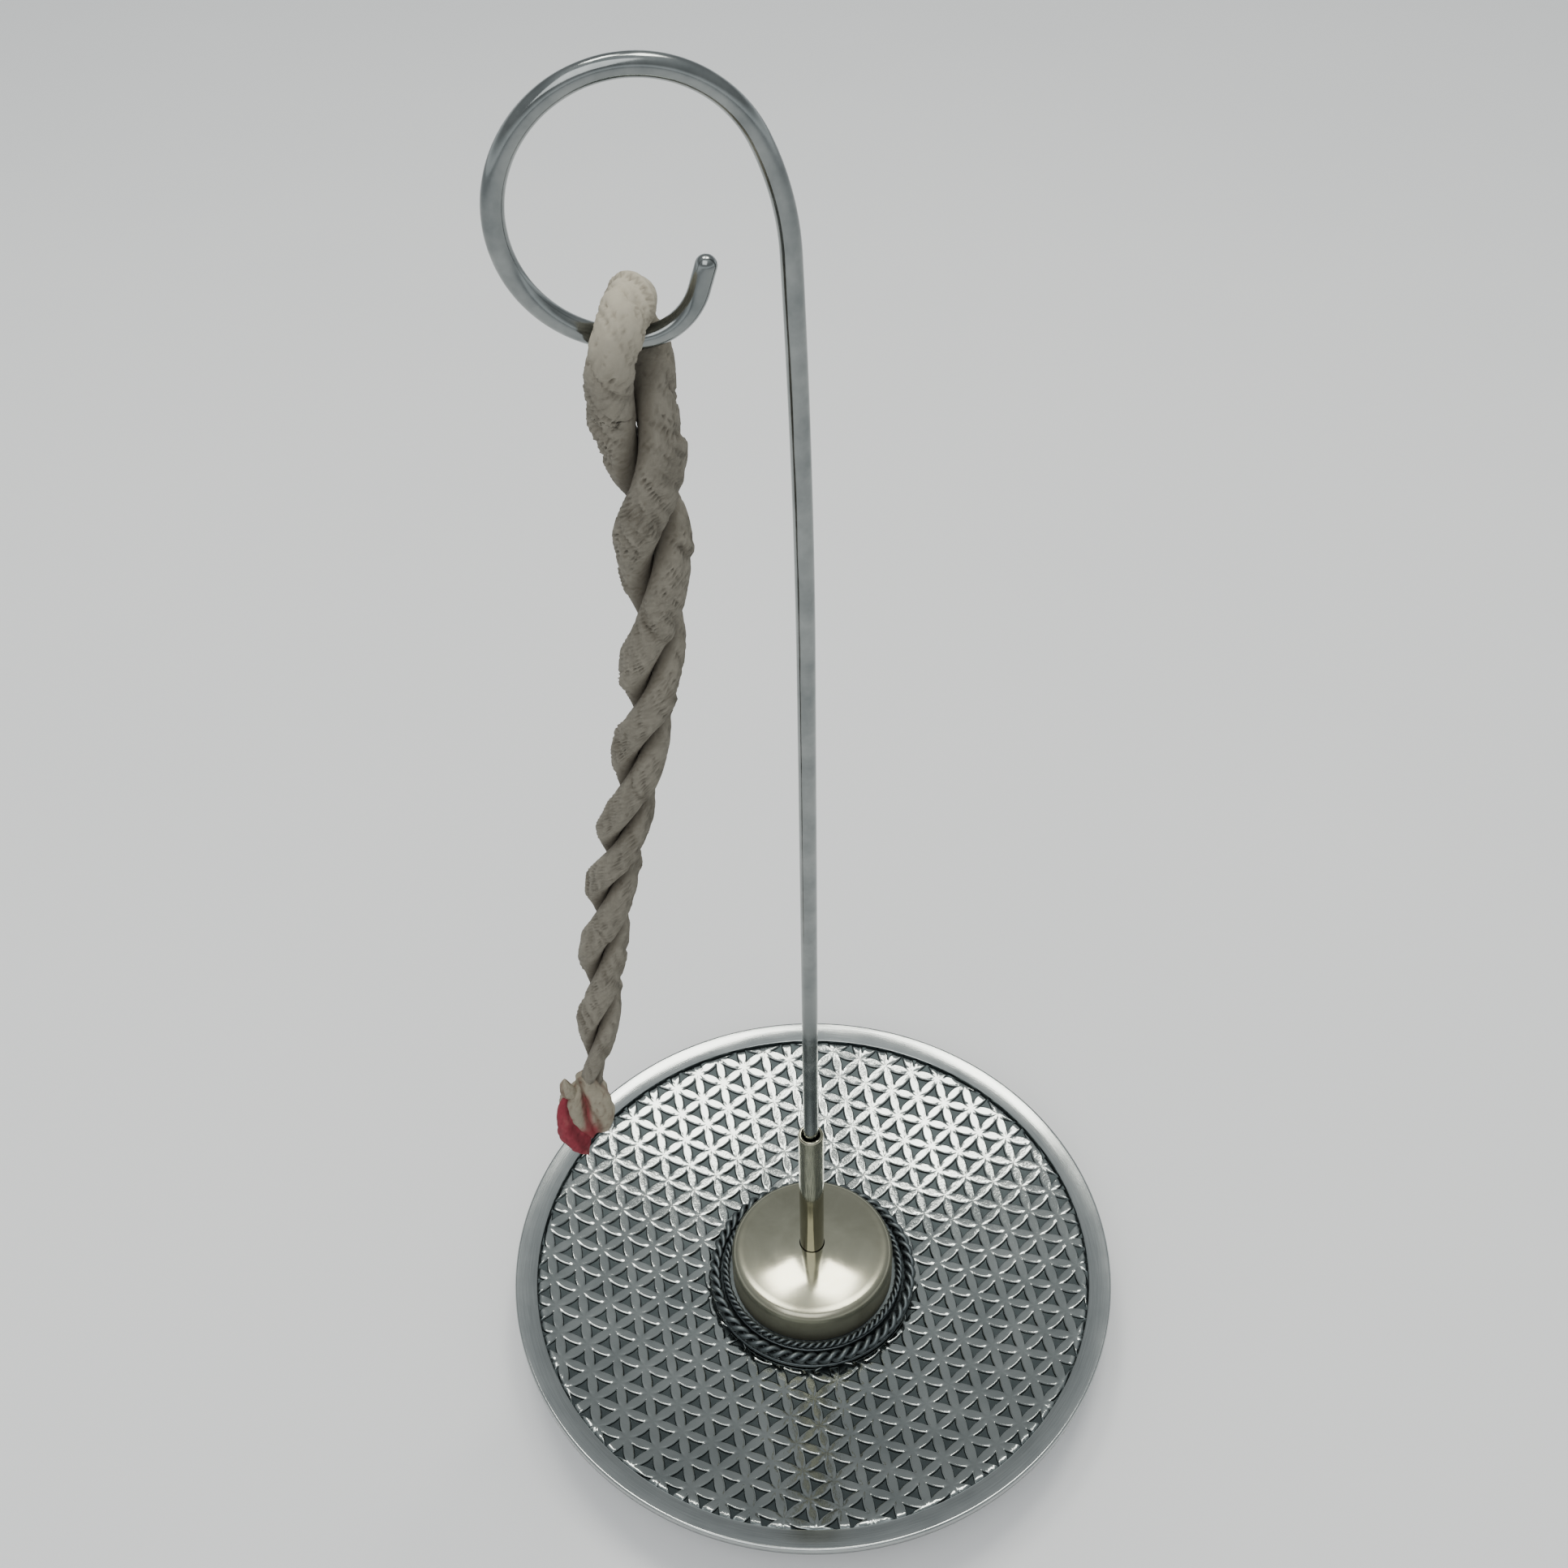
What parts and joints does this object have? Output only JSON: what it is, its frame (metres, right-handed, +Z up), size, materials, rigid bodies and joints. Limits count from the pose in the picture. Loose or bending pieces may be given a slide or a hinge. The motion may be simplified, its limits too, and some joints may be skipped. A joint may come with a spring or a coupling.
{
  "type": "hanging rope incense burner",
  "caption": "Footed dish with a domed hub and a socket tube that holds a swivelling crook of wire, with twisted rope incense hung over the dish.",
  "frame": {"origin": "on the table, under the middle of the dish: the centre of the foot ring's underside", "axes": "+Z up along the rod, -X towards the side that the crook bends to, -Y towards the viewer"},
  "size_m": [0.1, 0.1, 0.2112],
  "materials": {
    "antiqued_white_metal": "satin cast white metal, blackened in the recesses and buffed on the ridges",
    "oxidised_wire": "dark oxidised metal, bright on the crests",
    "polished_pale_brass": "polished pale brass",
    "zinc_plated_steel": "plain zinc plating",
    "polished_steel_wire": "polished nickel-plated wire",
    "lokta_paper": "dry hand-made paper, creased",
    "incense_powder": "pressed incense powder",
    "red_dyed_paper": "crimson-dyed hand-made paper"
  },
  "bodies": {
    "stand": {"dish": "antiqued_white_metal", "foot_ring": "antiqued_white_metal", "hub_seat": "oxidised_wire", "heavy_twist_wire_a": "oxidised_wire", "heavy_twist_wire_b": "oxidised_wire", "fine_twist_wire_a": "oxidised_wire", "fine_twist_wire_b": "oxidised_wire", "hub_cap": "polished_pale_brass", "socket_tube": "polished_pale_brass", "fixing_screw": "zinc_plated_steel", "fixing_washer": "zinc_plated_steel"},
    "hook": {"hook_wire": "polished_steel_wire"},
    "incense": {"incense_loop": "lokta_paper", "incense_paper": "lokta_paper", "incense_powder": "incense_powder", "tip_paper": "lokta_paper", "dyed_tip_paper": "red_dyed_paper"}
  },
  "joints": [
    {"name": "hook_swivel", "type": "hinge", "parent": "stand", "child": "hook", "pos_m": [0, 0, 0.03], "axis": [0, 0, 1], "continuous": true},
    {"name": "incense_swing", "type": "hinge", "parent": "hook", "child": "incense", "pos_m": [-0.01854, 0, 0.18358], "axis": [0.9823, 0, -0.1874], "range_deg": [-60, 60]}
  ]
}
